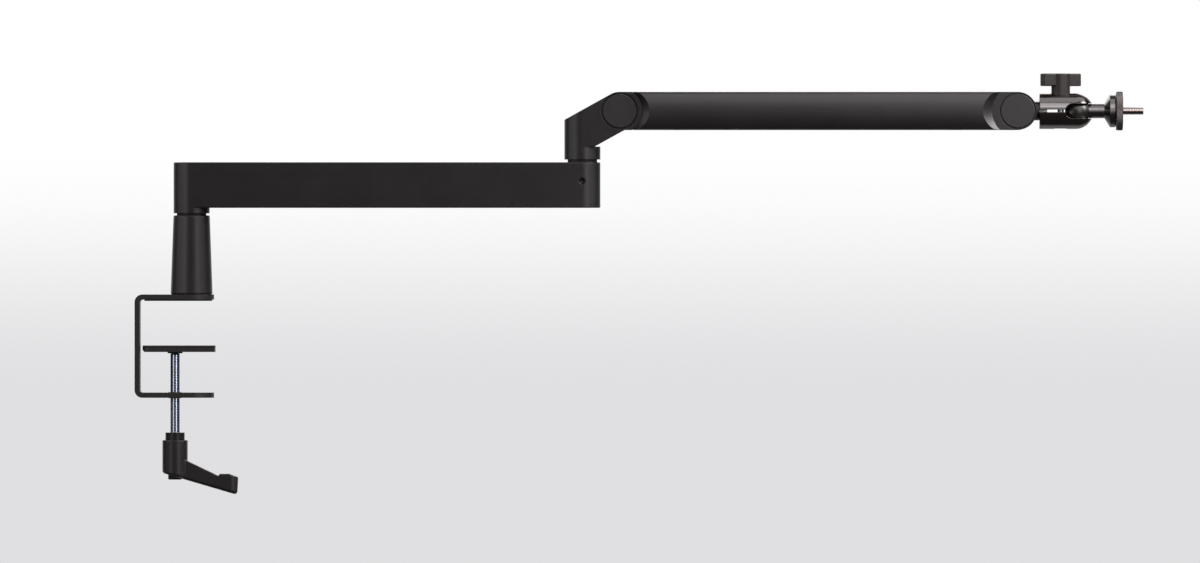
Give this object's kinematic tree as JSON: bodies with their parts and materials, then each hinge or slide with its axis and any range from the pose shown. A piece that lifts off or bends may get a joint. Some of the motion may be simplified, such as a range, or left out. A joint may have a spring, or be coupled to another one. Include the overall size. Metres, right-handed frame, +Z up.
{
  "type": "microphone boom arm",
  "caption": "Low desk-clamped microphone boom arm: riser, swivelling flat lower arm, slanted elbow, tilting upper arm and a ball head with a threaded microphone stub.",
  "frame": {"origin": "Middle of the upper jaw pad's underside, where it rests on the desk top, on the riser's axis.", "axes": "+Z up along the riser; +X along the arm towards the microphone; +Y away from the viewer."},
  "size_m": [0.7844, 0.0396, 0.3272],
  "materials": {
    "black_powder_coat": "satin black powder coat",
    "black_rubber": "matte rubber",
    "zinc_plate": "bright zinc plate",
    "plain_steel": "plain steel",
    "blackened_steel": "black oxide",
    "lever_plastic": "grained black plastic",
    "black_aluminium": "satin black anodised",
    "cap_plastic": "satin black plastic",
    "washer_plastic": "self-lubricating plastic",
    "bush_bronze": "sintered bronze",
    "gloss_head": "gloss black",
    "knob_plastic": "black plastic",
    "black_steel": "gloss black",
    "ring_aluminium": "knurled, dark anodised"
  },
  "bodies": {
    "clamp": {"clamp_frame": "black_powder_coat", "jaw_pad": "black_rubber", "clamp_nut": "blackened_steel", "riser_column": "black_aluminium", "riser_bolt": "plain_steel", "riser_spigot": "plain_steel", "base_washer": "washer_plastic"},
    "pressure_foot": {"pressure_plate": "black_powder_coat", "pressure_pad": "black_rubber", "plate_swivel_cup": "black_powder_coat"},
    "clamp_spindle": {"clamp_screw": "zinc_plate", "lever_insert": "blackened_steel", "lever_screw": "zinc_plate", "lever_spring": "plain_steel"},
    "clamp_lever": {"lever_handle": "lever_plastic"},
    "lower_arm": {"lower_arm_body": "black_aluminium", "lower_cable_cover": "cap_plastic", "arm_grub_screw": "blackened_steel", "base_bush": "bush_bronze", "elbow_bush": "bush_bronze", "elbow_washer": "washer_plastic"},
    "elbow": {"elbow_body": "black_aluminium", "elbow_spigot": "plain_steel", "elbow_hinge_pin": "plain_steel", "elbow_hinge_nut": "plain_steel", "elbow_friction_washers": "washer_plastic", "elbow_cap_front": "cap_plastic", "elbow_cap_rear": "cap_plastic"},
    "upper_arm": {"upper_arm_beam": "black_aluminium", "upper_cable_cover": "cap_plastic", "elbow_hinge_bush": "bush_bronze", "tip_hinge_pin": "plain_steel", "tip_hinge_nut": "plain_steel", "tip_friction_washers": "washer_plastic", "tip_cap_front": "cap_plastic", "tip_cap_rear": "cap_plastic"},
    "tip_head": {"tip_knuckle": "black_aluminium", "tip_hinge_bush": "bush_bronze", "head_stud": "plain_steel", "head_upper_jaw": "gloss_head", "head_lower_jaw": "gloss_head", "knob_nut": "blackened_steel"},
    "tension_knob": {"head_knob": "knob_plastic", "knob_screw": "plain_steel"},
    "swing_ball": {"ball": "black_steel"},
    "mic_mount": {"mic_stem": "black_steel", "mic_thread_stud": "zinc_plate"},
    "mic_lock_ring": {"lock_ring": "ring_aluminium"}
  },
  "joints": [
    {"name": "jaw_travel", "type": "slide", "parent": "clamp", "child": "pressure_foot", "axis": [0, 0, 1], "range_m": [-0.0275, 0.025]},
    {"name": "screw_turn", "type": "hinge", "parent": "pressure_foot", "child": "clamp_spindle", "pos_m": [-0.0129, 0, -0.04], "axis": [0, 0, 1], "range_deg": [-7920, 7200]},
    {"name": "lever_lift", "type": "slide", "parent": "clamp_spindle", "child": "clamp_lever", "axis": [0, 0, -1], "range_m": [0, 0.004], "stiffness_N_per_m": 2500, "springref_m": -0.003, "deforming": ["lever_spring"]},
    {"name": "base_swivel", "type": "hinge", "parent": "clamp", "child": "lower_arm", "pos_m": [0, 0, 0.0682], "axis": [0, 0, 1], "continuous": true},
    {"name": "elbow_swivel", "type": "hinge", "parent": "lower_arm", "child": "elbow", "pos_m": [0.304, 0, 0.11], "axis": [0, 0, 1], "continuous": true},
    {"name": "arm_tilt", "type": "hinge", "parent": "elbow", "child": "upper_arm", "pos_m": [0.333, 0, 0.14775], "axis": [0, -1, 0], "range_deg": [0, 90]},
    {"name": "tip_tilt", "type": "hinge", "parent": "upper_arm", "child": "tip_head", "pos_m": [0.6425, 0, 0.14775], "axis": [0, -1, 0], "range_deg": [-90, 90]},
    {"name": "knob_turn", "type": "hinge", "parent": "tip_head", "child": "tension_knob", "pos_m": [0.6761, 0, 0.165], "axis": [0, 0, 1], "range_deg": [0, 720]},
    {"name": "ball_swing", "type": "hinge", "parent": "tip_head", "child": "swing_ball", "pos_m": [0.6894, 0, 0.14775], "axis": [0, 0, 1], "range_deg": [-90, 90]},
    {"name": "stem_roll", "type": "hinge", "parent": "swing_ball", "child": "mic_mount", "pos_m": [0.6894, 0, 0.14775], "axis": [1, 0, 0], "continuous": true},
    {"name": "ring_spin", "type": "hinge", "parent": "mic_mount", "child": "mic_lock_ring", "pos_m": [0.7218, 0, 0.14775], "axis": [1, 0, 0], "continuous": true}
  ],
  "couplings": [
    {"joint": "jaw_travel", "follows": "screw_turn", "m_per_rad": 0.00019894}
  ]
}
